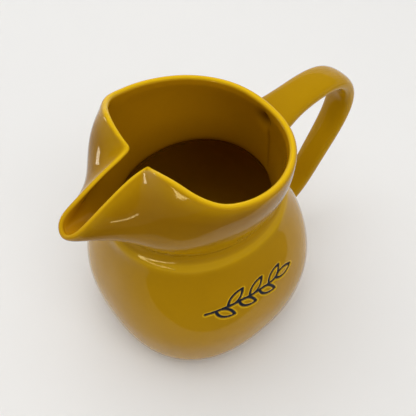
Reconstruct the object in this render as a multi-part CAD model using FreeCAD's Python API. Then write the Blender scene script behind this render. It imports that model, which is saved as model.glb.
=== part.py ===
import FreeCAD, Part
import os
from math import atan2, cos, exp, pi, radians, sin
from FreeCAD import Vector

# A ceramic pitcher: a round-bellied body, a tall collar whose rim is folded in at the front
# into two wings, a long beak spout between them, and a wide strap handle at the back.
# Millimetres and degrees. The spout points to -X and the handle to +X. Z is up, and the
# origin is the middle of the base, on the table.

# Driving dimensions of the body
wall = 4.5
floor_thickness = 6.0
base_half_x, base_half_y = 49.5, 49.0
foot_height, foot_inset = 1.2, 1.2
belly_half_x, belly_half_y, belly_height = 64.7, 62.8, 35.2
neck_half_x, neck_half_y, neck_height = 46.3, 41.5, 96.0
shoulder_reach = 24.5
corner_power = 2.52
# The plan is an ellipse at the neck and this square at and below a share of the way to the belly
body_squareness, square_by = 2.4, 0.5

# The join of collar and body: (distance out from the neck, distance below it)
collar_edge = [(1.0, -1.4), (1.0, -0.6)]
groove = [(0.2, -0.2), (0.0, 0.4)]
cove = [(0.4, 1.0), (1.6, 2.8)]
ridge = [(3.7, 4.6), (5.0, 6.8)]
ridge_gap = 1.0
inner_neck_half_x, inner_neck_half_y, inner_neck_height = 41.4, 36.8, 89.5

# Plan of the rim's crest, on the +Y side
rim_radius = 46.3
rim_arc_end = 110.0
rim_leave = 10.0
wing_pull = Vector(-34.1, 19.0, 0)
wing_corner = Vector(-30.1, 7.0, 0)
throat = Vector(-36.8, 6.1, 0)
spout_half_width = 6.3
spout_tip = -72.4
back_press, back_press_angle = 2.6, 26.0
# The columns are drawn together at the wing's corner, within a share of the rim's half length
corner_draw, corner_reach = 0.5, 0.05

# Height of the crest along the rim: (share of the way from back to tip, height)
crest_heights = [(0.0, 128.3), (0.15, 128.0), (0.30, 129.5), (0.45, 133.5), (0.57, 140.0),
                 (0.645, 144.0), (0.69, 142.5), (0.745, 137.3), (0.80, 134.0),
                 (0.94, 121.8), (1.0, 116.5)]
# The lip and the wall grow thinner towards the spout: (share of the way, size)
lip_radii = [(0.0, 2.0), (0.62, 2.0), (0.745, 1.5), (0.82, 1.3), (1.0, 1.4)]
collar_walls = [(0.0, 4.5), (0.60, 4.5), (0.78, 3.6), (1.0, 3.2)]
# Under the corner the wall is rounded, more with each row down from the crest
corner_place, soften_columns = 0.75, 4.0
soften_collar = [0, 0, 2, 4, 7, 10, 12]
soften_lip = [6, 3, 1, 0, 0, 0, 0]

# Two guide rings that swell the collar between neck and rim
lower_guide = dict(back=49.1, side=48.9, tip=62.5, tip_angle=11.8, cheek=5.0,
                   back_height=109.9, front_height=109.9, tip_height=112.0, lead=0.096)
upper_guide = dict(back=47.4, side=49.7, tip=73.3, tip_angle=22.5, cheek=9.5,
                   back_height=121.8, front_height=128.3, tip_height=110.8, lead=0.142)
cheek_at, cheek_angle = 144.3, 18.5
neck_lead = 0.053

# Handle: the (x, z) control points of its centre line in the plane y = 0, and its oval section
handle_line = [(46.3, 112.3), (85.5, 124.4), (109.8, 112.6), (114.6, 84.4), (94.4, 52.0),
               (82.9, 22.8), (61.8, 22.2)]
upper_half_width, lower_half_width, strap_half_depth = 11.1, 7.5, 4.7
strap_squareness = 2.4
root_flare, root_flare_share = 0.22, 0.07

# How finely the rings and rows follow the form
half_columns = 48
collar_steps = 8
lip_steps = 6
belly_steps = 8
shoulder_steps = 7
strap_rows, strap_columns = 30, 20

up = Vector(0, 0, 1)


def between(stations, t):
    """A smooth value at t from (place, value) stations, with no overshoot between them."""
    slopes = [(b[1] - a[1]) / (b[0] - a[0]) for a, b in zip(stations, stations[1:])]
    tangents = [slopes[0]]
    for left, right in zip(slopes, slopes[1:]):
        tangents.append(2 * left * right / (left + right) if left * right > 0 else 0.0)
    tangents.append(slopes[-1])
    i = max(k for k in range(len(slopes)) if stations[k][0] <= t)
    (start, low), (end, high) = stations[i], stations[i + 1]
    span = end - start
    s = (t - start) / span
    rise = s * s * (3 - 2 * s)
    return (low + (high - low) * rise
            + span * tangents[i] * s * (1 - s) ** 2
            - span * tangents[i + 1] * s * s * (1 - s))


def bell(angle, middle, width):
    """A smooth bump: one at the middle angle, fading out over the width (degrees)."""
    return exp(-((angle - radians(middle)) / radians(width)) ** 2)


def spread(lead):
    """Angles of the half ring's columns, from the back (0) to the front (pi)."""
    shares = [i / half_columns for i in range(half_columns + 1)]
    return [pi * (t + lead * sin(pi * t)) for t in shares]


def mirrored(half):
    """A whole ring from the points of its +Y half, starting at the side, clear of the handle."""
    ring = half + [Vector(p.x, -p.y, p.z) for p in half[-2:0:-1]]
    start = half_columns // 2
    return ring[start:] + ring[:start]


def oval_ring(half_x, half_y, height, power=2.0):
    """A level ring round the Z axis: an ellipse, or squarer with a larger power."""
    half = []
    for angle in spread(neck_lead):
        across, along = abs(cos(angle)) / half_x, abs(sin(angle)) / half_y
        radius = (across ** power + along ** power) ** (-1 / power)
        half.append(Vector(radius * cos(angle), radius * sin(angle), height))
    return mirrored(half)


def guide_ring(guide):
    """A ring that swells the collar: round at the back, full at the cheeks, a keel in front."""
    half = []
    for angle in spread(guide["lead"]):
        keel = bell(angle, 180.0, guide["tip_angle"])
        cheek = guide["cheek"] * bell(angle, cheek_at, cheek_angle)
        radius = guide["back"] + (guide["side"] - guide["back"]) * sin(angle) ** 2 + cheek
        radius += (guide["tip"] - radius) * keel
        height = guide["back_height"]
        height += (guide["front_height"] - height) * sin(angle / 2) ** 2
        height += (guide["tip_height"] - height) * keel
        half.append(Vector(radius * cos(angle), radius * sin(angle), height))
    return mirrored(half)


def column_shares(corner):
    """Where the columns go along half the rim, one of them just on the wing's corner."""
    even = [i / half_columns for i in range(half_columns + 1)]
    nearest = min(even, key=lambda share: abs(share - corner))
    shares = []
    for share in even:
        near = exp(-((share - nearest) / corner_reach) ** 2)
        shares.append(share + near * (corner - nearest + corner_draw * (nearest - share)))
    return shares


def point_along(edges, distance):
    """The point at a distance along a line of edges."""
    for edge in edges[:-1]:
        if distance <= edge.Length:
            return edge.valueAt(edge.getParameterByLength(distance))
        distance -= edge.Length
    last = edges[-1]
    return last.valueAt(last.getParameterByLength(min(distance, last.Length)))


def crest_ring():
    """The crest of the rim: arc, wing, spout edge and tip, raised to its height."""
    arc_end = Vector(cos(radians(rim_arc_end)), sin(radians(rim_arc_end)), 0) * rim_radius
    arc_middle = Vector(cos(radians(rim_arc_end / 2)), sin(radians(rim_arc_end / 2)), 0) * rim_radius
    leaving = Vector(-sin(radians(rim_arc_end)), cos(radians(rim_arc_end)), 0) * rim_leave
    wing = Part.BezierCurve()
    wing.setPoles([arc_end, arc_end + leaving, wing_pull, wing_corner])
    spout_end = Vector(spout_tip + spout_half_width, spout_half_width, 0)
    tip = Vector(spout_tip, 0, 0)
    tip_middle = Vector(spout_end.x, 0, 0) + Vector(-1, 1, 0).normalize() * spout_half_width
    outline = Part.Wire([
        Part.Arc(Vector(rim_radius, 0, 0), arc_middle, arc_end).toShape(),
        wing.toShape(),
        Part.LineSegment(wing_corner, throat).toShape(),
        Part.LineSegment(throat, spout_end).toShape(),
        Part.Arc(spout_end, tip_middle, tip).toShape(),
    ])
    corner = (outline.Edges[0].Length + outline.Edges[1].Length) / outline.Length
    half = []
    for share in column_shares(corner):
        p = point_along(outline.Edges, share * outline.Length)
        pressed = 1 - back_press / rim_radius * bell(atan2(p.y, p.x), 0.0, back_press_angle)
        half.append(Vector(p.x * pressed, p.y * pressed, between(crest_heights, min(share, 1.0))))
    return mirrored(half)


def ring_normals(ring):
    """Outward directions, level with the table, at each point of a ring."""
    normals = []
    for before, after in zip(ring[-1:] + ring[:-1], ring[1:] + ring[:1]):
        along = after - before
        normals.append(Vector(along.y, -along.x, 0).normalize())
    return normals


def bezier(points, s):
    """A point on the cubic Bezier curve of four points."""
    a, b, c, d = points
    r = 1 - s
    return a * r ** 3 + b * (3 * s * r * r) + c * (3 * s * s * r) + d * s ** 3


def sizes_round(stations):
    """A size at each column of a ring, from stations between the back and the tip."""
    half = [between(stations, i / half_columns) for i in range(half_columns + 1)]
    ring = half + half[-2:0:-1]
    start = half_columns // 2
    return ring[start:] + ring[:start]


def softened(ring, passes):
    """The ring, rounded by some passes where it goes under the wings' corners."""
    corner = half_columns * corner_place
    count = 2 * half_columns
    for _ in range(passes):
        rounder = []
        for i, point in enumerate(ring):
            column = (i + half_columns // 2) % count
            place = min(column, count - column)
            near = exp(-((place - corner) / soften_columns) ** 2)
            middle = (ring[i - 1] + ring[(i + 1) % count]) / 2
            rounder.append(point + (middle - point) * (near / 2))
        ring = rounder
    return ring


def lip_rows(crest, guide):
    """Rows round the lip, a half round whose axis leans the way the wall arrives."""
    rows = [[] for _ in range(lip_steps + 1)]
    radii = sizes_round(lip_radii)
    for point, below, level, radius in zip(crest, guide, ring_normals(crest), radii):
        lean = ((point - below).normalize() + up).normalize()
        out = (level - lean * level.dot(lean)).normalize()
        centre = point - lean * radius
        for k, row in enumerate(rows):
            turn = pi * k / lip_steps
            row.append(centre + (out * cos(turn) + lean * sin(turn)) * radius)
    return [softened(row, passes) for row, passes in zip(rows, soften_lip)]


def inset_rows(rows, depths):
    """The rows moved into the wall by each column's depth, square to the surface they make."""
    inset = []
    count = len(rows[0])
    for k in range(1, len(rows) - 1):
        moved = []
        for i, point in enumerate(rows[k]):
            around = rows[k][(i + 1) % count] - rows[k][i - 1]
            rising = rows[k + 1][i] - rows[k - 1][i]
            moved.append(point - around.cross(rising).normalize() * depths[i])
        inset.append(moved)
    return inset


def squareness(height):
    """The body's plan turns from an ellipse at the neck to a squarer oval at the belly."""
    share = (neck_height - height) / (neck_height - belly_height) / square_by
    return 2 + (body_squareness - 2) * min(1.0, max(0.0, share))


def lower_belly_rows(base_x, base_y, base_z, belly_x, belly_y):
    """Rows from just above a base up to the widest ring, round at the bottom corner."""
    rows = []
    for k in range(1, belly_steps + 1):
        turn = pi / 2 * (1 - k / belly_steps)
        out = cos(turn) ** (2 / corner_power)
        down = sin(turn) ** (2 / corner_power)
        height = belly_height - (belly_height - base_z) * down
        rows.append(oval_ring(base_x + (belly_x - base_x) * out,
                              base_y + (belly_y - base_y) * out, height, squareness(height)))
    return rows


def shoulder_rows(belly_x, belly_y, neck_x, neck_y, neck_z):
    """Rows from just above the widest ring up to just under a neck."""
    rows = []
    for k in range(1, shoulder_steps):
        s = 1 - k / shoulder_steps
        x_line = [Vector(neck_x, neck_z, 0)] * 2
        y_line = [Vector(neck_y, neck_z, 0)] * 2
        x_line += [Vector(belly_x, belly_height + shoulder_reach, 0), Vector(belly_x, belly_height, 0)]
        y_line += [Vector(belly_y, belly_height + shoulder_reach, 0), Vector(belly_y, belly_height, 0)]
        at_x, at_y = bezier(x_line, s), bezier(y_line, s)
        rows.append(oval_ring(at_x.x, at_y.x, at_x.y, squareness(at_x.y)))
    return rows


def neck_rows(steps):
    """Rows set out from the neck ring, each by (distance out, distance below)."""
    return [oval_ring(neck_half_x + out, neck_half_y + out, neck_height - down)
            for out, down in steps]


def skin_rows():
    """Every row of the body's skin: up the outside, over the lip and down the inside."""
    outside = [oval_ring(base_half_x - foot_inset, base_half_y - foot_inset, 0),
               oval_ring(base_half_x - foot_inset, base_half_y - foot_inset, foot_height)]
    outside += lower_belly_rows(base_half_x, base_half_y, foot_height, belly_half_x, belly_half_y)
    shoulder = shoulder_rows(belly_half_x, belly_half_y, neck_half_x, neck_half_y, neck_height)
    shoulder_top = neck_height - ridge[-1][1] - ridge_gap
    outside += [row for row in shoulder if row[0].z < shoulder_top]
    outside += neck_rows(ridge[::-1] + cove[::-1] + groove[::-1] + collar_edge[::-1])

    crest = crest_ring()
    upper = guide_ring(upper_guide)
    lip = lip_rows(crest, upper)
    guides = [oval_ring(neck_half_x, neck_half_y, neck_height), guide_ring(lower_guide), upper, lip[0]]
    collar = [softened([bezier(column, (k + 1) / collar_steps) for column in zip(*guides)], passes)
              for k, passes in enumerate(soften_collar)]

    inner_collar = inset_rows([guides[0]] + collar + [lip[0]], sizes_round(collar_walls))[::-1]
    inner_belly_x, inner_belly_y = belly_half_x - wall, belly_half_y - wall
    inside = [oval_ring(inner_neck_half_x, inner_neck_half_y, inner_neck_height)]
    inside += shoulder_rows(inner_belly_x, inner_belly_y, inner_neck_half_x, inner_neck_half_y,
                            inner_neck_height)[::-1]
    inner_base_x, inner_base_y = base_half_x - floor_thickness, base_half_y - floor_thickness
    inside += lower_belly_rows(inner_base_x, inner_base_y, floor_thickness,
                               inner_belly_x, inner_belly_y)[::-1]
    inside.append(oval_ring(inner_base_x - wall, inner_base_y - wall, floor_thickness))
    return outside + collar + lip + inner_collar + inside


def smooth_skin(rows):
    """One cubic surface, closed round each row and open at its first and last rows."""
    columns, count = len(rows[0]), len(rows)
    poles = [[row[i] for row in rows] for i in range(columns)]
    surface = Part.BSplineSurface()
    surface.buildFromPolesMultsKnots(
        poles,
        [1] * (columns + 1), [4] + [1] * (count - 4) + [4],
        list(range(columns + 1)), list(range(count - 2)),
        True, False, 3, 3)
    return surface.toShape()


def capped(skin):
    """A solid from a skin whose two open ends are flat loops."""
    caps = [Part.Face(Part.Wire([edge])) for edge in skin.Edges if edge.isClosed()]
    shell = Part.Shell([skin] + caps)
    shell.sewShape()
    solid = Part.Solid(shell)
    if solid.Volume < 0:
        solid.reverse()
    return solid


def make_body():
    """The hollow body with its collar, wings and spout."""
    return capped(smooth_skin(skin_rows()))


def make_handle():
    """The strap, its ends sunk in the wall and slightly flared where they leave it."""
    line = Part.BSplineCurve()
    line.buildFromPoles([Vector(x, 0, z) for x, z in handle_line])
    stations = line.toShape().discretize(Number=strap_rows)
    rows = []
    for k, centre in enumerate(stations):
        share = k / (len(stations) - 1)
        along = line.tangent(line.parameter(centre))[0]
        outward = Vector(0, 1, 0).cross(along)
        to_end = min(share, 1 - share)
        swell = 1 + root_flare * exp(-(to_end / root_flare_share) ** 2)
        half_width = upper_half_width + (lower_half_width - upper_half_width) * share
        row = []
        for i in range(strap_columns):
            turn = 2 * pi * i / strap_columns
            c, s = cos(turn), sin(turn)
            wide = half_width * abs(c) ** (2 / strap_squareness) * (1 if c >= 0 else -1)
            deep = strap_half_depth * abs(s) ** (2 / strap_squareness) * (1 if s >= 0 else -1)
            row.append(centre + (Vector(0, wide, 0) + outward * deep) * swell)
        rows.append(row)
    return capped(smooth_skin(rows))


os.makedirs("parts", exist_ok=True)
jug = make_body().fuse(make_handle()).Solids[0]
jug.exportStep("parts/jug.step")
print("volume", round(jug.Volume / 1000), "cubic cm, valid", jug.isValid(), jug.BoundBox)
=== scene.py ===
import logging
from contextlib import contextmanager
from dataclasses import dataclass, field
from enum import Enum
from math import cos, exp, pi, radians, sin
from typing import Iterator, Optional, Sequence, Union

import bmesh
import bpy
import numpy as np
from bpy.types import ID, Material, Mesh, NodeSocket, Object
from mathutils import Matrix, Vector
from mathutils.bvhtree import BVHTree


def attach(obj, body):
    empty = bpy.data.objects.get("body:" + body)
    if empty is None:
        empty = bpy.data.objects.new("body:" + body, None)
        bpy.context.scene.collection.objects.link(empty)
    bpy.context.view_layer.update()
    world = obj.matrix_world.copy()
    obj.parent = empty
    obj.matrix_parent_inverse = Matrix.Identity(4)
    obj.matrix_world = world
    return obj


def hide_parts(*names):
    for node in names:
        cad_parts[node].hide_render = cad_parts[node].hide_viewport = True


# A glazed earthenware jug for syrup: a round belly, a tall collar folded in at the front into two
# wings with a long beak between them, and a wide strap handle at the back. Metres; the beak
# points to -X, the handle to +X, and the origin is the middle of the base, on the table.

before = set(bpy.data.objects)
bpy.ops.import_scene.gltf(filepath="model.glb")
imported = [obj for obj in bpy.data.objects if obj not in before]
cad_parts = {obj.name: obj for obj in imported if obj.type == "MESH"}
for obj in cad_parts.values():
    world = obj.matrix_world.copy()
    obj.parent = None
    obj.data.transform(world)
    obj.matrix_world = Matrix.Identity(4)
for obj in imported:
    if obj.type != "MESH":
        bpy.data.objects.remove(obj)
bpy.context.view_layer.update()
LOG = logging.getLogger("jug")

Pair = tuple[float, float]
Triple = tuple[float, float, float]
Colour = Triple
Stations = tuple[Pair, ...]
Shares = tuple[float, ...]
Points = np.ndarray
Value = Union["Wire", float]

HALF_COLUMNS = 48
COLUMNS = 2 * HALF_COLUMNS
NOISE_MIDDLE = 0.5


class Trait(Enum):
    """What varies over the glaze, painted light and shade among it; each is kept as a point
    attribute of the mesh.
    """

    # lemon where the glaze ran out thinly, also painted highlights and painted light on the
    # shoulder's ridge, the collar's edge and the strap
    THIN = "thin"
    # brown where the glaze pooled, also painted shade over the collar's outer face and deep inside
    # the jug
    POOL_AND_SHADE = "pool"
    INSIDE = "inside"
    BARE = "bare"
    INK = "ink"
    HALO = "halo"


# ---- Curves and rings


def between(stations: Sequence[Pair], t: float) -> float:
    """Find a smooth value from stations, with no overshoot between them.

    Args:
        stations: (place, value) pairs in order of place.
        t: The place asked for.

    Returns:
        The value at t.
    """
    slopes = [(b[1] - a[1]) / (b[0] - a[0]) for a, b in zip(stations, stations[1:])]
    tangents = [slopes[0]]
    for left, right in zip(slopes, slopes[1:]):
        tangents.append(2 * left * right / (left + right) if left * right > 0 else 0.0)
    tangents.append(slopes[-1])
    i = max(k for k in range(len(slopes)) if stations[k][0] <= t)
    (start, low), (end, high) = stations[i], stations[i + 1]
    span = end - start
    s = (t - start) / span
    return (low + (high - low) * s * s * (3 - 2 * s)
            + span * tangents[i] * s * (1 - s) ** 2
            - span * tangents[i + 1] * s * s * (1 - s))


def bell(angle: Points, middle: float, width: float) -> Points:
    """Make a bump over angles in radians; its middle and its width are in degrees."""
    return np.exp(-((angle - radians(middle)) / radians(width)) ** 2)


def spread(lead: float) -> Points:
    """Give the angles of half a ring's columns, back to front; lead draws them forward."""
    shares = np.linspace(0, 1, HALF_COLUMNS + 1)
    return pi * (shares + lead * np.sin(pi * shares))


def mirrored(half: Points) -> Points:
    """Make a whole ring from the points of its +Y half, which go from back to front."""
    return np.concatenate([half, half[-2:0:-1] * (1, -1, 1)])


def bezier(points: Sequence[Points], s: Union[float, Points]) -> Points:
    """Find a point, or a ring of points, on cubic Bezier curves.

    Args:
        points: The four control points, or four rings of them.
        s: The share of the way along.

    Returns:
        The point or ring at s.
    """
    a, b, c, d = points
    r = 1 - s
    return a * r ** 3 + b * (3 * s * r * r) + c * (3 * s * s * r) + d * s ** 3


def run(line: Points) -> Points:
    """Measure how far along a polyline each of its points lies."""
    return np.concatenate([[0.0], np.cumsum(np.linalg.norm(np.diff(line, axis=0), axis=1))])


def set_out(line: Points, shares: Points) -> Points:
    """Set out points along a fine polyline, at shares of its length."""
    along = run(line)
    return np.stack([np.interp(shares * along[-1], along, axis) for axis in line.T], axis=1)


def spline(poles: Points, count: int) -> Points:
    """Trace the cubic B-spline that starts at its first control point and ends at its last.

    Args:
        poles: The control points.
        count: How many points to trace.

    Returns:
        The traced points.
    """
    spans = len(poles) - 3
    knots = np.concatenate([np.zeros(3), np.arange(spans + 1), np.full(3, spans)])
    t = np.linspace(0, spans * (1 - 1e-9), count)

    def ramp(low: float, high: float) -> Points:
        """Rise from 0 at low to 1 at high, or stay 0 on an empty span."""
        return (t - low) / (high - low) if high > low else np.zeros_like(t)

    weights = [((a <= t) & (t < b)).astype(float) for a, b in zip(knots, knots[1:])]
    for degree in (1, 2, 3):
        weights = [ramp(knots[i], knots[i + degree]) * weights[i]
                   + (1 - ramp(knots[i + 1], knots[i + degree + 1])) * weights[i + 1]
                   for i in range(len(weights) - 1)]
    return np.array(weights).T @ poles


def distance_to(lines: list[Points], flat: Points) -> Points:
    """Measure how far flat points are from the nearest of some lines.

    Args:
        lines: Polylines, two numbers a point.
        flat: The points, two numbers each.

    Returns:
        The distance from each point.
    """
    nearest = np.full(len(flat), 1.0)
    for line in lines:
        for start, end in zip(line, line[1:]):
            step = end - start
            share = np.clip(((flat - start) @ step) / (step @ step), 0, 1)
            gap = np.linalg.norm(flat - start - share[:, None] * step, axis=1)
            nearest = np.minimum(nearest, gap)
    return nearest


def unit(vectors: Points) -> Points:
    """Scale each vector to length one."""
    return vectors / np.linalg.norm(vectors, axis=-1, keepdims=True)


def ring_normals(ring: Points) -> Points:
    """Give the outward level direction at each point of a ring."""
    along = np.roll(ring, -1, axis=0) - np.roll(ring, 1, axis=0)
    level = np.stack([along[:, 1], -along[:, 0], np.zeros(len(ring))], axis=1)
    return unit(level)


def placed(name: str, data: ID) -> Object:
    """Put a new object with this data in the scene."""
    thing = bpy.data.objects.new(name, data)
    bpy.context.scene.collection.objects.link(thing)
    return thing


@contextmanager
def opened(mesh: Mesh) -> Iterator[bmesh.types.BMesh]:
    """Open a mesh for changes and write them back at the end."""
    work = bmesh.new()
    work.from_mesh(mesh)
    yield work
    work.to_mesh(mesh)
    work.free()


def skin_point(row: int, column: int) -> int:
    """Number the skin's point at a row and a column; columns go round."""
    return row * COLUMNS + column % COLUMNS


@dataclass
class Row:
    """One ring of the jug's skin, and how the glaze lies on it and where light and shade are
    painted on it, all round or by column.
    """

    points: Points
    traits: dict[Trait, Union[float, Points]] = field(default_factory=dict)


# ---- The parts of the form


@dataclass
class Belly:
    """The foot, the round belly, the shoulder and the neck, outside and inside."""

    wall: float = 0.0045
    floor: float = 0.006
    base: Pair = (0.0495, 0.0490)
    foot_height: float = 0.0012
    foot_inset: float = 0.0012
    foot_ring: float = 0.0045
    foot_round: float = 0.0012
    foot_bare: float = 0.35
    recess: float = 0.0009
    recess_shares: Shares = (0.05, 0.3, 0.6, 0.84)
    widest: Pair = (0.0647, 0.0628)
    height: float = 0.0352
    neck: Pair = (0.0463, 0.0415)
    neck_height: float = 0.0960
    shoulder_reach: float = 0.0245
    corner_power: float = 2.52
    squareness: float = 2.4
    neck_lead: float = 0.053
    collar_edge: Stations = ((0.0008, -0.0008), (0.0008, -0.0002))
    groove: Stations = ((-0.0009, 0.0001), (-0.0009, 0.0004))
    cove: Stations = ((0.0005, 0.0007), (0.0009, 0.0028))
    ridge: Stations = ((0.0029, 0.0052), (0.0048, 0.0070))
    ridge_gap: float = 0.001
    # painted highlights: lemon lines along the collar's rounded bottom edge and the shoulder's
    # ridge, where glaze thins and where light catches
    edge_thin_and_highlight: float = 0.4
    groove_pool: float = 1.33
    ridge_thin_and_highlight: float = 0.65
    inner_neck: Pair = (0.0414, 0.0368)
    inner_neck_height: float = 0.0895
    floor_shares: Shares = (0.9, 0.6, 0.3, 0.05)
    # painted shade inside the body: the inner walls are darkened, and the floor darker still,
    # where glaze pools on the floor and where shade falls deep in the jug
    inner_wall_shade: float = 0.5
    floor_pool_and_shade: float = 1.0
    steps: int = 14
    inner_steps: int = 8

    def oval(self, half: Pair, height: float, power: float = 2.0) -> Points:
        """Make a level ring round the Z axis.

        Args:
            half: Half its length along X and along Y.
            height: Its height.
            power: 2 for an ellipse, more for a squarer oval.

        Returns:
            The ring.
        """
        angle = spread(self.neck_lead)
        across, along = abs(np.cos(angle)) / half[0], abs(np.sin(angle)) / half[1]
        radius = (across ** power + along ** power) ** (-1 / power)
        flat = np.stack([radius * np.cos(angle), radius * np.sin(angle),
                         np.full(len(angle), height)], axis=1)
        return mirrored(flat)

    def power_at(self, height: float) -> float:
        """Say how square the plan is: an ellipse at the neck, squarer at the belly."""
        share = min(1.0, max(0.0, (self.neck_height - height)
                             / (self.neck_height - self.height) * 2))
        return 2 + (self.squareness - 2) * share

    def lower(self, base: Pair, base_z: float, widest: Pair, steps: int) -> list[Points]:
        """Make the rings from just above a base up to the widest ring.

        Args:
            base: Half sizes of the base.
            base_z: Its height.
            widest: Half sizes of the widest ring.
            steps: How many rings.

        Returns:
            The rings, from low to high.
        """
        rings = []
        for k in range(1, steps + 1):
            turn = pi / 2 * (1 - k / steps)
            out = cos(turn) ** (2 / self.corner_power)
            down = sin(turn) ** (2 / self.corner_power)
            height = self.height - (self.height - base_z) * down
            half = tuple(b + (w - b) * out for b, w in zip(base, widest))
            rings.append(self.oval(half, height, self.power_at(height)))
        return rings

    def shoulder(self, widest: Pair, neck: Pair, neck_z: float, steps: int) -> list[Points]:
        """Make the rings from just above the widest ring up to just under a neck.

        Args:
            widest: Half sizes of the widest ring.
            neck: Half sizes of the neck.
            neck_z: The neck's height.
            steps: How finely the shoulder is divided.

        Returns:
            The rings, from low to high.
        """
        rings = []
        for k in range(1, steps):
            s = 1 - k / steps
            lines = [bezier([np.array(p) for p in ((n, neck_z), (n, neck_z),
                                                   (w, self.height + self.shoulder_reach),
                                                   (w, self.height))], s)
                     for w, n in zip(widest, neck)]
            height = lines[0][1]
            rings.append(self.oval((lines[0][0], lines[1][0]), height, self.power_at(height)))
        return rings

    def outside(self) -> list[Row]:
        """Make the rows from the middle of the underside up to the collar's edge."""
        foot = tuple(b - self.foot_inset for b in self.base)
        rows = [Row(self.oval((foot[0] * share, foot[1] * share), self.recess))
                for share in self.recess_shares]
        rows += [Row(self.oval(tuple(f - inset for f in foot), 0.0), {Trait.BARE: 1.0})
                 for inset in (self.foot_ring, self.foot_ring / 2, self.foot_round, 0.0)]
        rows.append(Row(self.oval(foot, self.foot_height), {Trait.BARE: self.foot_bare}))
        rows += [Row(ring) for ring in
                 self.lower(self.base, self.foot_height, self.widest, self.steps)]
        top = self.neck_height - self.ridge[-1][1] - self.ridge_gap
        rows += [Row(ring) for ring in
                 self.shoulder(self.widest, self.neck, self.neck_height, self.steps)
                 if ring[0][2] < top]
        # the ridge and the collar's edge: thinned glaze with painted highlights; the groove:
        # pooled glaze
        for steps, traits in ((self.ridge, {Trait.THIN: self.ridge_thin_and_highlight}),
                              (self.cove, {}),
                              (self.groove, {Trait.POOL_AND_SHADE: self.groove_pool}),
                              (self.collar_edge, {Trait.THIN: self.edge_thin_and_highlight})):
            rows += [Row(self.oval(tuple(n + out for n in self.neck), self.neck_height - down),
                         traits) for out, down in steps[::-1]]
        return rows

    def inside(self) -> list[Row]:
        """Make the rows from the inner neck down to the middle of the floor."""
        inner = tuple(w - self.wall for w in self.widest)
        rings = [self.oval(self.inner_neck, self.inner_neck_height)]
        rings += self.shoulder(inner, self.inner_neck, self.inner_neck_height,
                               self.inner_steps)[::-1]
        floor = tuple(b - self.floor for b in self.base)
        rings += self.lower(floor, self.floor, inner, self.inner_steps)[::-1]
        # painted shade on the inner walls, and pooled glaze with painted shade on the floor
        rows = [Row(ring, {Trait.INSIDE: 1.0, Trait.POOL_AND_SHADE: self.inner_wall_shade}) for ring in rings]
        for share in self.floor_shares:
            ring = self.oval(tuple(f * share for f in floor), self.floor)
            rows.append(Row(ring, {Trait.INSIDE: 1.0, Trait.POOL_AND_SHADE: self.floor_pool_and_shade}))
        return rows


@dataclass
class Guide:
    """A ring that swells the collar: round at the back, full cheeks, a keel in front."""

    back: float
    side: float
    tip: float
    tip_angle: float
    cheek: float
    back_height: float
    front_height: float
    tip_height: float
    lead: float
    cheek_at: float = 144.3
    cheek_angle: float = 18.5

    def ring(self) -> Points:
        """Make the ring."""
        angle = spread(self.lead)
        keel = bell(angle, 180.0, self.tip_angle)
        radius = self.back + (self.side - self.back) * np.sin(angle) ** 2
        radius += self.cheek * bell(angle, self.cheek_at, self.cheek_angle)
        radius += (self.tip - radius) * keel
        height = self.back_height + (self.front_height - self.back_height) * np.sin(angle / 2) ** 2
        height += (self.tip_height - height) * keel
        return mirrored(np.stack([radius * np.cos(angle), radius * np.sin(angle), height], axis=1))


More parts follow.
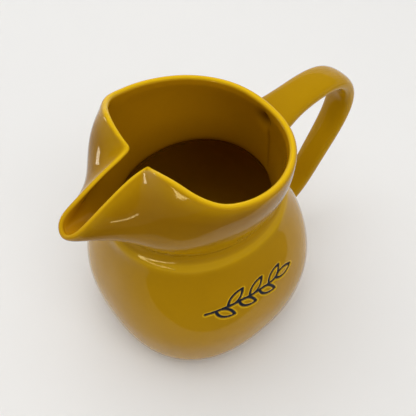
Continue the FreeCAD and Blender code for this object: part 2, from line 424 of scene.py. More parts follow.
@dataclass
class Collar:
    """The tall collar, its folded rim, its beak and its rounded lip."""

    rim_radius: float = 0.0463
    arc_end: float = 110.0
    leave: float = 0.010
    wing_pull: Pair = (-0.0341, 0.0190)
    wing_corner: Pair = (-0.0301, 0.0070)
    throat: Pair = (-0.0368, 0.0061)
    beak_half_width: float = 0.0063
    beak_tip: float = -0.0724
    back_press: float = 0.0026
    back_press_angle: float = 26.0
    corner_draw: float = 0.5
    corner_reach: float = 0.05
    corner_share: float = 0.75
    soften_share: float = 0.5
    soften_columns: float = 4.0
    soften_passes: tuple[int, ...] = (0, 0, 2, 4, 7, 10, 12)
    soften_lip: tuple[int, ...] = (6, 3, 1, 0, 0, 0, 0)
    lip_radii: Stations = (
        (0.0, 0.0020), (0.62, 0.0020), (0.745, 0.0015), (0.82, 0.0013), (1.0, 0.0014))
    walls: Stations = ((0.0, 0.0045), (0.60, 0.0045), (0.78, 0.0036), (1.0, 0.0032))
    crest_heights: Stations = (
        (0.0, 0.1283), (0.15, 0.1280), (0.30, 0.1295), (0.45, 0.1335), (0.57, 0.1400),
        (0.645, 0.1440), (0.69, 0.1425), (0.745, 0.1373), (0.80, 0.1340), (0.94, 0.1218),
        (1.0, 0.1165))
    lower: Guide = field(default_factory=lambda: Guide(
        back=0.0491, side=0.0489, tip=0.0625, tip_angle=11.8, cheek=0.0050, back_height=0.1099,
        front_height=0.1099, tip_height=0.1120, lead=0.096))
    upper: Guide = field(default_factory=lambda: Guide(
        back=0.0474, side=0.0497, tip=0.0733, tip_angle=22.5, cheek=0.0095, back_height=0.1218,
        front_height=0.1283, tip_height=0.1108, lead=0.142))
    steps: int = 8
    lip_steps: int = 6
    fine_steps: int = 200
    # painted shade: the collar's inner rows darken towards the neck, standing in for the light
    # falling off deep inside
    inside_depth_shade: float = 0.5
    inner_power: int = 3
    # painted shade: a brown band over the collar's outer face stands in for the shade on its near
    # side
    face_shade: float = 0.85
    face_power: float = 2.2
    # the lip's lemon band is weaker towards the beak's tip
    tip_dimming: float = 0.35
    tip_columns: float = 6.0

    def crest(self) -> Points:
        """Make the crest of the rim: arc, wing, beak edge and tip, raised to its height."""
        end = radians(self.arc_end)
        turn = np.linspace(0, end, self.fine_steps)
        arc = np.stack([np.cos(turn), np.sin(turn)], axis=1) * self.rim_radius
        leaving = np.array([-sin(end), cos(end)]) * self.leave
        s = np.linspace(0, 1, self.fine_steps)[:, None]
        wing = bezier([arc[-1], arc[-1] + leaving, np.array(self.wing_pull),
                       np.array(self.wing_corner)], s)
        shoulder = (self.beak_tip + self.beak_half_width, self.beak_half_width)
        round_tip = np.linspace(pi / 2, pi, self.fine_steps // 2)
        tip = np.stack([self.beak_tip + self.beak_half_width * (1 + np.cos(round_tip)),
                        self.beak_half_width * np.sin(round_tip)], axis=1)
        outline = np.concatenate([arc, wing, [self.throat, shoulder], tip])
        along = run(outline)
        shares = self.columns(along[len(arc) + len(wing) - 1] / along[-1])
        plan = set_out(outline, shares)
        angle = np.arctan2(plan[:, 1], plan[:, 0])
        pressed = 1 - self.back_press / self.rim_radius * bell(angle, 0.0, self.back_press_angle)
        height = [between(self.crest_heights, min(share, 1.0)) for share in shares]
        return mirrored(np.stack([plan[:, 0] * pressed, plan[:, 1] * pressed, height], axis=1))

    def columns(self, corner: float) -> Points:
        """Share out the columns along half the rim, closer together at the wing's corner.

        Args:
            corner: The corner's share of the way from the back to the tip.

        Returns:
            One share a column; a column lies just on the corner.
        """
        even = np.linspace(0, 1, HALF_COLUMNS + 1)
        nearest = even[abs(even - corner).argmin()]
        near = np.exp(-((even - nearest) / self.corner_reach) ** 2)
        return even + near * (corner - nearest + self.corner_draw * (nearest - even))

    def soften(self, ring: Points, passes: int) -> Points:
        """Round a ring where it passes under the wings' corners.

        Args:
            ring: The ring.
            passes: How much to round it.

        Returns:
            The rounded ring.
        """
        corner = HALF_COLUMNS * self.corner_share
        place = np.minimum(np.arange(COLUMNS), COLUMNS - np.arange(COLUMNS))
        near = np.exp(-((place - corner) / self.soften_columns) ** 2)
        share = self.soften_share * near[:, None]
        for _ in range(passes):
            middle = (np.roll(ring, 1, axis=0) + np.roll(ring, -1, axis=0)) / 2
            ring = ring + (middle - ring) * share
        return ring

    def lip(self, crest: Points) -> list[Points]:
        """Make the rings round the lip, leaning the way the wall arrives.

        Args:
            crest: The crest of the rim.

        Returns:
            The rings, from the outside over the crest to the inside.
        """
        lean = unit(unit(crest - self.upper.ring()) + (0, 0, 1))
        level = ring_normals(crest)
        out = unit(level - lean * (level * lean).sum(axis=1, keepdims=True))
        radius = self.round_ring(self.lip_radii)
        middle = crest - lean * radius
        turns = [pi * k / self.lip_steps for k in range(self.lip_steps + 1)]
        rings = [middle + (out * cos(t) + lean * sin(t)) * radius for t in turns]
        return [self.soften(ring, passes) for ring, passes in zip(rings, self.soften_lip)]

    @staticmethod
    def round_ring(stations: Stations) -> Points:
        """Give a size at each column from its stations between the back and the tip."""
        half = [between(stations, i / HALF_COLUMNS) for i in range(HALF_COLUMNS + 1)]
        return np.array(half + half[-2:0:-1])[:, None]

    def rows(self, neck: Points) -> list[Row]:
        """Make the rows from the neck over the lip and back down inside to the neck.

        Args:
            neck: The neck ring that the collar rises from.

        Returns:
            The rows in order.
        """
        lip = self.lip(self.crest())
        guides = [neck, self.lower.ring(), self.upper.ring(), lip[0]]
        rise = [self.soften(bezier(guides, k / self.steps), self.soften_passes[k - 1])
                for k in range(1, self.steps)]
        inner = inset([neck] + rise + [lip[0]], self.round_ring(self.walls))[::-1]
        columns = abs(np.arange(COLUMNS) - HALF_COLUMNS)
        # the lip's lemon band weakens towards the beak's tip
        tip_dimmed = 1 - self.tip_dimming * np.exp(-(columns / self.tip_columns) ** 2)
        edge = [sin(pi * k / self.lip_steps) * tip_dimmed for k in range(self.lip_steps + 1)]
        # painted shade over the collar's outer face
        face = [self.face_shade * sin(pi * (k / self.steps) ** self.face_power)
                for k in range(1, self.steps)]
        # painted shade, darker the deeper inside
        deep = [self.inside_depth_shade * (k / len(inner)) ** self.inner_power
                for k in range(len(inner))]
        return ([Row(ring, {Trait.POOL_AND_SHADE: pool}) for ring, pool in zip(rise, face)]
                + [Row(ring, {Trait.THIN: share, Trait.INSIDE: k / self.lip_steps})
                   for k, (ring, share) in enumerate(zip(lip, edge))]
                + [Row(ring, {Trait.INSIDE: 1.0, Trait.POOL_AND_SHADE: pool})
                   for ring, pool in zip(inner, deep)])


def inset(rings: list[Points], depth: Points) -> list[Points]:
    """Move rings into the wall, square to the surface that they make.

    Args:
        rings: The rings, of which the first and the last only give directions.
        depth: How far to move each column.

    Returns:
        The moved rings.
    """
    moved = []
    for below, ring, above in zip(rings, rings[1:], rings[2:]):
        around = np.roll(ring, -1, axis=0) - np.roll(ring, 1, axis=0)
        moved.append(ring - unit(np.cross(around, above - below)) * depth)
    return moved


@dataclass
class StrapHandle:
    """The wide strap at the back, whose ends melt into the wall."""

    line: Stations = (
        (0.0463, 0.1123), (0.0855, 0.1244), (0.1098, 0.1126), (0.1146, 0.0844),
        (0.0944, 0.0520), (0.0829, 0.0228), (0.0618, 0.0222))
    upper_half_width: float = 0.0111
    lower_half_width: float = 0.0075
    half_depth: float = 0.0047
    squareness: float = 2.4
    flare: float = 0.22
    flare_share: float = 0.07
    stand_off: float = 0.0035
    fine_steps: int = 400
    rings: int = 30
    columns: int = 20
    # painted light: the whole strap's glaze is made lighter, standing in for the light on its top
    strap_painted_light: float = 0.45
    root_columns: int = 3
    root_rows: int = 4

    def sections(self, wall_x: Points, wall_z: Points) -> list[Points]:
        """Make the strap's rings between its two roots.

        Args:
            wall_x: How far out the back of the wall is.
            wall_z: The heights at which that holds, rising.

        Returns:
            The rings, from the upper root to the lower.
        """
        poles = np.array([(x, 0.0, z) for x, z in self.line])
        centres = set_out(spline(poles, 2 * self.fine_steps),
                          np.linspace(0, 1, self.fine_steps))
        along = unit(np.gradient(centres, axis=0))
        clear = centres[:, 0] - np.interp(centres[:, 2], wall_z, wall_x) > self.stand_off
        kept = np.linspace(*np.flatnonzero(clear)[[0, -1]], self.rings).round().astype(int)
        turn = 2 * pi * np.arange(self.columns) / self.columns
        power = 2 / self.squareness
        wide = np.sign(np.cos(turn)) * abs(np.cos(turn)) ** power
        deep = np.sign(np.sin(turn)) * abs(np.sin(turn)) ** power * self.half_depth
        rings = []
        for k in kept:
            share = k / (len(centres) - 1)
            swell = 1 + self.flare * exp(-(min(share, 1 - share) / self.flare_share) ** 2)
            half_width = (self.upper_half_width
                          + (self.lower_half_width - self.upper_half_width) * share)
            outward = np.cross((0, 1, 0), along[k])
            rings.append(centres[k] + swell * (np.outer(wide * half_width, (0, 1, 0))
                                               + np.outer(deep, outward)))
        return rings

    def root(self, low: int, rising: bool) -> list[tuple[int, int]]:
        """List the (row, column) of the skin's points round a root, in the strap's order.

        Args:
            low: The root's lowest row.
            rising: Whether the strap's own order goes up first, as at the lower root.

        Returns:
            One point of the skin for each column of the strap.
        """
        side, high = self.root_columns, low + self.root_rows
        middle = low + self.root_rows // 2
        points = [(row, side) for row in range(middle, low - 1, -1)]
        points += [(low, column) for column in range(side - 1, -side - 1, -1)]
        points += [(row, -side) for row in range(low + 1, high + 1)]
        points += [(high, column) for column in range(1 - side, side + 1)]
        points += [(row, side) for row in range(high - 1, middle, -1)]
        if rising:
            points = [(low + high - row, column) for row, column in points]
        return points


@dataclass
class LeafSprig:
    """A sprig of leaves, cut into the wall and filled with dark slip."""

    middle_x: float = -0.0064
    middle_z: float = 0.0644
    radius: float = 0.0560
    tilt: float = 20.0
    length: float = 0.053
    leaf_length: float = 0.0116
    leaf_width: float = 0.0046
    leaf_lean: float = 36.0
    leaf_fullness: float = 0.72
    leaf_pulls: Pair = (0.25, 0.65)
    leaf_points: int = 14
    leaves: int = 6
    first_leaf: float = 0.10
    leaves_span: float = 0.60
    wave: float = 0.016
    stem_end: float = 0.80
    stem_points: int = 40
    stroke: float = 0.0019
    depth: float = 0.0008
    steepness: float = 1.6
    ink_edge: float = 0.98
    ink_fade: float = 0.25
    halo: float = 0.0006
    halo_at: float = 1.25
    sheet_room: Pair = (0.3, 0.75)
    sheet_strokes: float = 4.0

    def stem(self, share: float) -> Points:
        """Find a point of the stem, a slow wave from end to end."""
        up = sin(2 * pi * share) * self.length * self.wave
        return np.array([(share - 0.5) * self.length, up])

    def leaf(self, root: Points, angle: float) -> list[Points]:
        """Draw one leaf: its two edges, which meet in a point.

        Args:
            root: Where it leaves the stem.
            angle: Its direction, in radians.

        Returns:
            The two edges.
        """
        ahead = np.array([cos(angle), sin(angle)]) * self.leaf_length
        aside = np.array([-sin(angle), cos(angle)]) * self.leaf_width * self.leaf_fullness
        near, far = (root + ahead * pull for pull in self.leaf_pulls)
        s = np.linspace(0, 1, self.leaf_points)[:, None]
        return [bezier([root, near + aside * side, far + aside * side, root + ahead], s)
                for side in (1, -1)]

    def lines(self) -> list[Points]:
        """Draw the whole sprig flat, as lines in (along, up): a stem and leaves by turns."""
        shares = np.linspace(0.0, self.stem_end, self.stem_points)
        drawn = [np.array([self.stem(share) for share in shares])]
        for k in range(self.leaves):
            side = 1 if k % 2 else -1
            share = self.first_leaf + self.leaves_span * k / (self.leaves - 1)
            drawn += self.leaf(self.stem(share), radians(self.leaf_lean) * side)
        return drawn + self.leaf(self.stem(self.stem_end), 0.0)

    def flat(self, points: Points) -> Points:
        """Unroll points of the wall round the neck's axis.

        Args:
            points: Points on the wall.

        Returns:
            Their (along, up) places on the sprig's own sheet.
        """
        angle = np.arctan2(points[:, 0], -points[:, 1])
        start = np.arcsin(self.middle_x / self.radius)
        up = (points[:, 2] - self.middle_z) / cos(radians(self.tilt))
        return np.stack([(angle - start) * self.radius, up], axis=1)

    def holds(self, points: Points, margin: float) -> Points:
        """Tell which points lie on the sprig's part of the wall.

        Args:
            points: Points of the jug.
            margin: How much room to add all round.

        Returns:
            True for each point that does.
        """
        flat = self.flat(points)
        end_room, side_room = self.sheet_room
        reach = np.array([self.length / 2 + self.leaf_length * end_room,
                          self.leaf_length * side_room])
        on_sheet = (abs(flat) < reach + margin).all(axis=1)
        inner_edge = self.radius - self.stroke * self.sheet_strokes
        far_out = np.hypot(points[:, 0], points[:, 1]) > inner_edge
        return on_sheet & far_out & (points[:, 1] < 0)

    def distance(self, points: Points) -> Points:
        """Measure how far points of the wall are from the nearest line of the sprig."""
        return distance_to(self.lines(), self.flat(points))

    def marks(self, gap: float) -> Triple:
        """Tell how a point of the wall is marked.

        Args:
            gap: Its distance from the nearest line.

        Returns:
            The shares of the full depth, of ink and of thin glaze beside the ink.
        """
        half = self.stroke / 2
        press = min(1.0, max(0.0, 1 - (gap / half) ** 2) * self.steepness)
        ink = (half * self.ink_edge - gap) / (half * self.ink_fade)
        halo = 1 - abs(gap - half * self.halo_at) / self.halo
        return press, float(np.clip(ink, 0, 1)), float(np.clip(halo, 0, 1))


@dataclass
class InnerDent:
    """The dent that joining the handle leaves inside, with the crease that runs down from it."""

    y: float = -0.0030
    z: float = 0.1185
    radius: float = 0.0040
    depth: float = 0.0028
    crease: Stations = ((-0.0050, 0.1195), (-0.0085, 0.1080), (-0.0125, 0.0930))
    crease_radius: float = 0.0013
    crease_depth: float = 0.0006
    shade: float = 1.3
    crease_shade: float = 0.6
    inside_from: float = 0.9
    beyond_x: float = 0.035
    within_y: float = 0.025
    above_z: float = 0.085

    def holds(self, points: Points, inside: Points) -> Points:
        """Tell which points lie on the inner wall at the back, where the dent is."""
        return ((inside > self.inside_from) & (points[:, 0] > self.beyond_x)
                & (abs(points[:, 1]) < self.within_y) & (points[:, 2] > self.above_z))

    def strength(self, points: Points) -> tuple[Points, Points]:
        """Tell how far points of the inner wall are pressed, and how dark the glaze pools there.

        Args:
            points: Points of the inner wall at the back.

        Returns:
            The depth and the share of pooled glaze at each.
        """
        flat = points[:, 1:]
        dent = np.exp(-(np.linalg.norm(flat - (self.y, self.z), axis=1) / self.radius) ** 2)
        gap = distance_to([np.array(self.crease)], flat)
        crease = np.exp(-(gap / self.crease_radius) ** 2)
        return (self.depth * dent + self.crease_depth * crease,
                self.shade * np.maximum(dent, self.crease_shade * crease))


# ---- Shader expressions


class Wire:
    """A value in a material: arithmetic on it adds Math nodes."""

    def __init__(self, graph: "Graph", socket: NodeSocket) -> None:
        """Wrap a socket of a graph."""
        self.graph = graph
        self.socket = socket

    def _math(self, operation: str, first: Value, second: Value) -> "Wire":
        """Add one Math node on two values."""
        return self.graph.node("ShaderNodeMath", {"operation": operation}, {0: first, 1: second})

    def __add__(self, other: Value) -> "Wire":
        """Add."""
        return self._math("ADD", self, other)

    __radd__ = __add__

    def __sub__(self, other: Value) -> "Wire":
        """Subtract."""
        return self._math("SUBTRACT", self, other)

    def __mul__(self, other: Value) -> "Wire":
        """Multiply."""
        return self._math("MULTIPLY", self, other)

    def __pow__(self, other: Value) -> "Wire":
        """Raise to a power."""
        return self._math("POWER", self, other)


class Graph:
    """A material's node tree."""

    def __init__(self, name: str) -> None:
        """Start an empty material of a name."""
        self.material = bpy.data.materials.new(name)
        self.material.use_nodes = True
        self.material.node_tree.nodes.clear()

    def node(self, kind: str, settings: dict, inputs: dict,
             output: Union[int, str] = 0) -> Optional[Wire]:
        """Add a node.

        Args:
            kind: The node's type.
            settings: Its properties, set first.
            inputs: Values or wires by socket name, identifier or number.
            output: Which output to hand back.

        Returns:
            The output as a wire, or None from a node that has none.
        """
        node = self.material.node_tree.nodes.new(kind)
        for name, value in settings.items():
            setattr(node, name, value)
        for name, value in inputs.items():
            socket = self._socket(node.inputs, name)
            if isinstance(value, Wire):
                self.material.node_tree.links.new(value.socket, socket)
            elif isinstance(value, tuple) and len(value) == 3 and socket.type == "RGBA":
                socket.default_value = (*value, 1.0)
            else:
                socket.default_value = value
        if not node.outputs:
            return None
        return Wire(self, self._socket(node.outputs, output))

    @staticmethod
    def _socket(sockets: Sequence, key: Union[int, str]) -> NodeSocket:
        """Find a socket by its number, identifier or name."""
        if isinstance(key, int):
            return sockets[key]
        return next((s for s in sockets if s.identifier == key), None) or sockets[key]

    def trait(self, trait: Trait) -> Wire:
        """Read one of the mesh's glaze traits."""
        return self.node("ShaderNodeAttribute", {"attribute_name": trait.value}, {}, "Fac")

    def mix(self, share: Value, first: Union[Wire, Colour], second: Union[Wire, Colour]) -> Wire:
        """Mix two colours: share is how much of the second."""
        return self.node("ShaderNodeMix", {"data_type": "RGBA"},
                         {"Factor_Float": share, "A_Color": first, "B_Color": second},
                         "Result_Color")

    def noise(self, scale: float, detail: float = 2.0) -> Wire:
        """Add even noise over the object, about one wave in 1/scale metres."""
        place = self.node("ShaderNodeTexCoord", {}, {}, "Object")
        return self.node("ShaderNodeTexNoise", {},
                         {"Vector": place, "Scale": scale, "Detail": detail}, "Fac")

    def principled(self, inputs: dict) -> Material:
        """End the material in a principled shader with these inputs."""
        return self.finish(self.node("ShaderNodeBsdfPrincipled", {}, inputs))

    def finish(self, shader: Wire) -> Material:
        """Join a shader to the output and hand back the material."""
        self.node("ShaderNodeOutputMaterial", {}, {"Surface": shader})
        return self.material


@dataclass(frozen=True)
class HoneyGlaze:
    """A glossy mustard glaze: lemon where it ran out thinly and brown where it pooled; the same
    lemon also paints highlights and light, and the same brown paints shade.
    """

    body: Colour = (0.420, 0.221, 0.002)
    # lemon of thinned glaze, which also paints highlights and light
    thin: Colour = (0.80, 0.50, 0.008)
    # brown of pooled glaze, which also paints shade
    pool: Colour = (0.17, 0.066, 0.001)
    # painted light: the inside has its own copy of the glaze, redder and lighter than the outside,
    # standing in for light bounced round inside
    inner: Colour = (0.49, 0.225, 0.002)
    clay: Colour = (0.62, 0.50, 0.36)
    dark_clay: Colour = (0.45, 0.34, 0.22)
    ink: Colour = (0.006, 0.014, 0.032)
    cloud_scale: float = 22.0
    cloud_depth: float = 0.35
    speck_scale: float = 420.0
    speck_detail: float = 3.0
    speck_depth: float = 0.10
    pool_everywhere: float = 0.10
    pool_depth: float = 0.75
    thin_power: float = 2.6
    thin_depth: float = 0.95
    halo_depth: float = 0.7
    roughness: float = 0.06
    cloud_roughness: float = 0.03
    bare_roughness: float = 0.6
    ink_roughness: float = 0.22
    swell_scale: float = 38.0
    swell_detail: float = 1.0
    grain_scale: float = 900.0
    grain_depth: float = 0.012
    bump: float = 0.35
    bump_height: float = 0.0006
    gloss: float = 0.20
    glint: Colour = (1.0, 0.80, 0.35)

    def material(self) -> Material:
        """Make the material."""
        g = Graph("honey_glaze")
        cloud, speck = g.noise(self.cloud_scale), g.noise(self.speck_scale, self.speck_detail)
        thin, pool = g.trait(Trait.THIN), g.trait(Trait.POOL_AND_SHADE)
        bare, ink, halo = g.trait(Trait.BARE), g.trait(Trait.INK), g.trait(Trait.HALO)
        # the inside's own copy of the glaze is painted light
        colour = g.mix(g.trait(Trait.INSIDE), self.body, self.inner)
        colour = g.mix((cloud - NOISE_MIDDLE) * self.cloud_depth
                       + (speck - NOISE_MIDDLE) * self.speck_depth + self.pool_everywhere,
                       colour, self.pool)
        # pooled glaze, and painted shade
        colour = g.mix(pool * self.pool_depth, colour, self.pool)
        # thinned glaze, and painted highlights and light
        colour = g.mix(thin ** self.thin_power * self.thin_depth, colour, self.thin)
        colour = g.mix(halo * self.halo_depth, colour, self.thin)
        colour = g.mix(ink, colour, self.ink)
        colour = g.mix(bare, colour, g.mix(speck, self.clay, self.dark_clay))
        rough = (self.roughness + (cloud - NOISE_MIDDLE) * self.cloud_roughness
                 + bare * self.bare_roughness + ink * self.ink_roughness)
        swell, grain = g.noise(self.swell_scale, self.swell_detail), g.noise(self.grain_scale)
        bump = g.node("ShaderNodeBump", {},
                      {"Strength": self.bump, "Distance": self.bump_height,
                       "Height": swell + grain * self.grain_depth}, "Normal")
        return g.principled({"Base Color": colour, "Roughness": rough, "Normal": bump,
                             "Specular IOR Level": self.gloss, "Specular Tint": self.glint})


@dataclass(frozen=True)
class MattPaper:
    """The plain pale paper that the jug stands on."""

    colour: Colour = (0.84, 0.835, 0.82)
    roughness: float = 0.85
    gloss: float = 0.2
    cloud_scale: float = 6.0
    cloud_shade: float = 0.985

    def material(self) -> Material:
        """Make the material."""
        g = Graph("matt_paper")
        tint = g.mix(g.noise(self.cloud_scale), self.colour,
                     tuple(c * self.cloud_shade for c in self.colour))
        return g.principled({"Base Color": tint, "Roughness": self.roughness,
                             "Specular IOR Level": self.gloss})


# ---- Assemblies


@dataclass
class GlazedJug:
    """The whole jug in one piece: skin, handle and the sprig cut into its side."""

    belly: Belly = field(default_factory=Belly)
    collar: Collar = field(default_factory=Collar)
    handle: StrapHandle = field(default_factory=StrapHandle)
    sprig: LeafSprig = field(default_factory=LeafSprig)
    inner_dent: InnerDent = field(default_factory=InnerDent)
    upper_root_height: float = 0.1125
    lower_root_height: float = 0.0220
    levels: int = 2
    sprig_cuts: int = 3
    cut_margin: float = 0.001
    press_margin: float = 0.0015
    fine_margin: float = 0.016
    fine_levels: int = 5

    def rows(self) -> list[Row]:
        """List every row of the skin, from the underside up, over the lip and down inside."""
        neck = self.belly.oval(self.belly.neck, self.belly.neck_height)
        return self.belly.outside() + self.collar.rows(neck) + self.belly.inside()

    @staticmethod
    def lip_row(rows: list[Row]) -> int:
        """Find the row that is highest at the back."""
        return max(range(len(rows)), key=lambda r: rows[r].points[0][2])

    def root_row(self, rows: list[Row], height: float) -> int:
        """Find the lowest row of the root whose middle is at a height."""
        middle = min(range(self.lip_row(rows)),
                     key=lambda r: abs(rows[r].points[0][2] - height))
        return middle - self.handle.root_rows // 2

    def net(self) -> Mesh:
        """Make the coarse closed net of four-sided faces that the smooth form follows."""
        rows = self.rows()
        points = [tuple(p) for row in rows for p in row.points]
        spans = {(low + r, c) for low in self.roots(rows)
                 for r in range(self.handle.root_rows)
                 for c in range(-self.handle.root_columns, self.handle.root_columns)}

        faces = [(skin_point(r, c), skin_point(r, c + 1),
                  skin_point(r + 1, c + 1), skin_point(r + 1, c))
                 for r in range(len(rows) - 1)
                 for c in range(-HALF_COLUMNS, HALF_COLUMNS) if (r, c) not in spans]
        for row in (0, len(rows) - 1):
            points.append(tuple(rows[row].points.mean(axis=0)))
            faces += [(skin_point(row, c), skin_point(row, c + 1), len(points) - 1)
                      for c in range(COLUMNS)]
        strap_start = len(points)
        faces += self.strap_faces(rows, points)
        mesh = bpy.data.meshes.new("jug_net")
        mesh.from_pydata(points, [], faces)
        self.mark(mesh, rows, strap_start)
        return mesh

    def roots(self, rows: list[Row]) -> tuple[int, int]:
        """Give the lowest rows of the upper and the lower root."""
        return (self.root_row(rows, self.upper_root_height),
                self.root_row(rows, self.lower_root_height))

    def strap_faces(self, rows: list[Row], points: list[tuple]) -> list[tuple[int, ...]]:
        """Add the strap's points and list the faces that join them to the skin.

        Args:
            rows: The skin's rows.
            points: All the points so far; the strap's are added.

        Returns:
            The faces.
        """
        back = np.array([row.points[0] for row in rows[:self.lip_row(rows)]])
        order = np.argsort(back[:, 2])
        sections = self.handle.sections(back[order, 0], back[order, 2])
        upper, lower = self.roots(rows)
        loops = [[skin_point(*spot) for spot in self.handle.root(upper, rising=False)]]
        for section in sections:
            start = len(points)
            points.extend(tuple(p) for p in section)
            loops.append(list(range(start, start + self.handle.columns)))
        loops.append([skin_point(*spot) for spot in self.handle.root(lower, rising=True)])
        count = self.handle.columns
        return [(first[i], first[(i + 1) % count], second[(i + 1) % count], second[i])
                for first, second in zip(loops, loops[1:]) for i in range(count)]

    def mark(self, mesh: Mesh, rows: list[Row], strap_start: int) -> None:
        """Write each row's glaze traits, and the painted light over the whole strap, on the net's
        points.

        Args:
            mesh: The net.
            rows: The skin's rows.
            strap_start: The number of the strap's first point.
        """
        for trait in Trait:
            values = np.zeros(len(mesh.vertices), dtype=np.float32)
            for r, row in enumerate(rows):
                values[r * COLUMNS:(r + 1) * COLUMNS] = row.traits.get(trait, 0.0)
            # painted light: the whole strap is lightened
            if trait is Trait.THIN:
                values[strap_start:] = self.handle.strap_painted_light
            layer = mesh.attributes.new(trait.value, "FLOAT", "POINT")
            layer.data.foreach_set("value", values)

    @staticmethod
    def smoothed(mesh: Mesh, levels: int) -> Mesh:
        """Subdivide a mesh smoothly.

        Args:
            mesh: The net.
            levels: How many times each face is divided in four.

        Returns:
            A new mesh.
        """
        carrier = placed("carrier", mesh)
        step = carrier.modifiers.new("smooth", "SUBSURF")
        step.levels = step.render_levels = levels
        step.use_limit_surface = True
        graph = bpy.context.evaluated_depsgraph_get()
        result = bpy.data.meshes.new_from_object(carrier.evaluated_get(graph))
        bpy.data.objects.remove(carrier)
        return result

    def about_sprig(self, work: bmesh.types.BMesh, margin: float) -> list[bmesh.types.BMFace]:
        """Find the faces of the sprig's part of the wall, with a margin."""
        held = self.sprig.holds(np.array([f.calc_center_median() for f in work.faces]), margin)
        return [face for face, inside in zip(work.faces, held) if inside]

    def fine_wall(self, net: Mesh) -> BVHTree:
        """Make a very fine copy of the wall about the sprig, to seat new points on.

        Args:
            net: The coarse net.

        Returns:
            A search tree of the fine wall.
        """
        mesh = net.copy()
        with opened(mesh) as patch:
            kept = set(self.about_sprig(patch, self.fine_margin))
            bmesh.ops.delete(patch, geom=[f for f in patch.faces if f not in kept],
                             context="FACES")
        fine = self.smoothed(mesh, self.fine_levels)
        tree = BVHTree.FromPolygons([v.co for v in fine.vertices],
                                    [tuple(p.vertices) for p in fine.polygons])
        bpy.data.meshes.remove(fine)
        bpy.data.meshes.remove(mesh)
        return tree

    def carve(self, mesh: Mesh, wall: BVHTree) -> None:
        """Divide the wall finely about the sprig and press its lines in.

        Args:
            mesh: The smooth mesh, which is changed.
            wall: The fine wall.
        """
        with opened(mesh) as work:
            edges = list({e for f in self.about_sprig(work, self.cut_margin) for e in f.edges})
            bmesh.ops.subdivide_edges(work, edges=edges, cuts=self.sprig_cuts, use_grid_fill=True)
            work.verts.ensure_lookup_table()
            places = np.array([v.co for v in work.verts])
            near = np.flatnonzero(self.sprig.holds(places, self.press_margin))
            layers = work.verts.layers.float
            ink, halo = layers[Trait.INK.value], layers[Trait.HALO.value]
            for k, gap in zip(near, self.sprig.distance(places[near])):
                vertex = work.verts[k]
                spot, normal, _, _ = wall.find_nearest(vertex.co)
                if normal.dot(Vector((vertex.co.x, vertex.co.y, 0))) < 0:
                    normal = -normal
                press, vertex[ink], vertex[halo] = self.sprig.marks(gap)
                vertex.co = spot - normal * self.sprig.depth * press

    def dent(self, mesh: Mesh) -> None:
        """Press the dent into the inner wall at the back.

        Args:
            mesh: The smooth mesh, which is changed.
        """
        places = np.array([v.co for v in mesh.vertices])
        inside = np.array([d.value for d in mesh.attributes[Trait.INSIDE.value].data])
        pool = mesh.attributes[Trait.POOL_AND_SHADE.value].data
        chosen = np.flatnonzero(self.inner_dent.holds(places, inside))
        for k, press, shade in zip(chosen, *self.inner_dent.strength(places[chosen])):
            mesh.vertices[k].co.x += press
            pool[k].value = max(pool[k].value, shade)

    def build(self) -> Object:
        """Build the piece.

        Returns:
            The object, in place of the bare solid.
        """
        net = self.net()
        with opened(net) as work:
            bmesh.ops.recalc_face_normals(work, faces=work.faces)
        mesh = self.smoothed(net, self.levels)
        self.dent(mesh)
        self.carve(mesh, self.fine_wall(net))
        mesh.shade_smooth()
        jug = placed("glazed_jug", mesh)
        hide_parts("jug")
        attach(jug, "root")
        return jug

    def dress(self, jug: Object, glaze: HoneyGlaze) -> None:
        """Give the piece its glaze."""
        jug.data.materials.clear()
        jug.data.materials.append(glaze.material())


@dataclass
class Lamp:
    """A soft lamp, square unless it has a width of its own."""

    name: str
    place: Triple
    size: float
    power: float
    colour: Colour = (1.0, 1.0, 1.0)
    mirrored: bool = True
    lights: bool = True
    width: float = 0.0

    def hang(self, target: Vector) -> None:
        """Hang the lamp and turn it to a target.

        Args:
            target: What it faces.
        """
        data = bpy.data.lights.new(self.name, "AREA")
        data.shape, data.size, data.size_y = "RECTANGLE", self.width or self.size, self.size
        data.energy, data.color = self.power, self.colour
        lamp = placed(self.name, data)
        lamp.location = self.place
        lamp.visible_glossy, lamp.visible_diffuse = self.mirrored, self.lights
        lamp.rotation_euler = (target - Vector(self.place)).to_track_quat("-Z", "Y").to_euler()


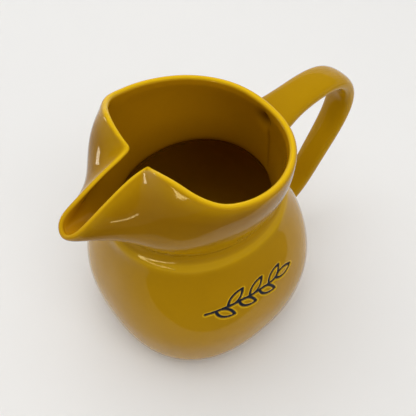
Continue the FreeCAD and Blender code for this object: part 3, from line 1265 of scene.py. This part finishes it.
@dataclass
class Studio:
    """The floor, a grey glowing sheet that paints a dark reflection in the glaze, the lamps, the
    sky and the camera.
    """

    flat_radius: float = 1.2
    disc_share: float = 0.9
    sweep_radius: float = 0.4
    sweep_points: int = 10
    backdrop_height: float = 0.9
    turns: int = 72
    sky: Colour = (0.17, 0.17, 0.175)
    # a grey glowing sheet, seen only in reflections, that paints a dark reflection in the glaze:
    # its near edge, its height and its glow
    reflection_sheet_edge: Pair = (-0.125, -0.20)
    reflection_sheet_height: float = 0.001
    reflection_sheet_glow: float = 0.20
    camera_place: Triple = (-0.09458, -0.12863, 0.29151)
    azimuth: float = -38.6554
    elevation: float = 53.6852
    lens: float = 41.659
    sensor: float = 36.0
    near_clip: float = 0.01
    aim: Triple = (0.0, 0.0, 0.07)
    lamps: tuple[Lamp, ...] = (
        Lamp("ceiling_bounce", (0.0, 0.38, 1.5), 2.2, 23.3, (1.0, 0.995, 0.99), mirrored=False),
        Lamp("front_fill", (0.10, -0.95, 1.4), 1.0, 6.4, mirrored=False),
        Lamp("window", (-1.05, -0.36, 0.425), 0.050, 2.6, width=0.80, lights=False),
        Lamp("far_window", (-0.60, 0.86, 0.26), 0.16, 1.6, width=0.28, lights=False),
    )

    def lay_floor(self, paper: MattPaper) -> Object:
        """Lay the floor, which sweeps up all round into a backdrop.

        Args:
            paper: Its finish.

        Returns:
            The floor.
        """
        sweep = np.linspace(0, pi / 2, self.sweep_points)
        profile = [(self.flat_radius * self.disc_share, 0.0)]
        profile += [(self.flat_radius + self.sweep_radius * sin(a),
                     self.sweep_radius * (1 - cos(a))) for a in sweep]
        profile.append((profile[-1][0], self.backdrop_height))
        turn = 2 * pi * np.arange(self.turns) / self.turns
        points = [(r * cos(a), r * sin(a), z) for r, z in profile for a in turn]
        faces = [tuple(range(self.turns))]
        faces += [(low + i, low + self.turns + i,
                   low + self.turns + (i + 1) % self.turns, low + (i + 1) % self.turns)
                  for low in range(0, len(points) - self.turns, self.turns)
                  for i in range(self.turns)]
        mesh = bpy.data.meshes.new("floor")
        mesh.from_pydata(points, [], faces)
        mesh.shade_smooth()
        mesh.materials.append(paper.material())
        floor = placed("floor", mesh)
        return floor

    def lay_reflection_sheet(self) -> Object:
        """Lay a grey glowing sheet before the paper's near edge, out of the picture: seen only in
        reflections, it paints a dark reflection in the glaze.

        Returns:
            The sheet, whose glow the glaze mirrors.
        """
        half, (level, slope), z = self.flat_radius, self.reflection_sheet_edge, self.reflection_sheet_height
        mesh = bpy.data.meshes.new("reflection_sheet")
        mesh.from_pydata([(-half, -half, z), (half, -half, z), (half, level + slope * half, z),
                          (-half, level - slope * half, z)], [], [(0, 1, 2, 3)])
        # painted reflection: the sheet glows grey and is seen only by glossy rays
        graph = Graph("painted_reflection")
        grey = (self.reflection_sheet_glow,) * 3
        mesh.materials.append(graph.finish(
            graph.node("ShaderNodeEmission", {}, {"Color": grey, "Strength": 1.0})))
        reflection_sheet = placed("reflection_sheet", mesh)
        reflection_sheet.visible_camera = reflection_sheet.visible_diffuse = reflection_sheet.visible_shadow = False
        return reflection_sheet

    def light(self) -> None:
        """Hang the lamps and set the sky."""
        for lamp in self.lamps:
            lamp.hang(Vector(self.aim))
        world = bpy.data.worlds.new("studio_sky")
        world.use_nodes = True
        world.node_tree.nodes["Background"].inputs["Color"].default_value = (*self.sky, 1.0)
        bpy.context.scene.world = world

    def place_camera(self) -> None:
        """Set up the camera."""
        data = bpy.data.cameras.new("camera")
        data.lens, data.sensor_width = self.lens, self.sensor
        data.clip_start = self.near_clip
        camera = placed("camera", data)
        camera.location = self.camera_place
        camera.rotation_euler = (radians(90 - self.elevation), 0.0, radians(self.azimuth))
        bpy.context.scene.camera = camera


def main() -> None:
    """Build the jug and the studio."""
    logging.basicConfig(level=logging.INFO, format="%(name)s: %(message)s")
    studio = Studio()
    studio.place_camera()
    maker = GlazedJug()
    jug = maker.build()
    maker.dress(jug, HoneyGlaze())
    LOG.info("%s: %d faces", jug.name, len(jug.data.polygons))
    floor = studio.lay_floor(MattPaper())
    LOG.info("%s: flat for %.1f m all round", floor.name, studio.flat_radius)
    # a glowing sheet that paints a dark reflection in the glaze
    reflection_sheet = studio.lay_reflection_sheet()
    LOG.info("%s: beyond the paper's near edge", reflection_sheet.name)
    studio.light()
    bpy.context.scene.view_settings.view_transform = "Standard"
    bpy.context.view_layer.update()


if __name__ == "__main__":
    main()
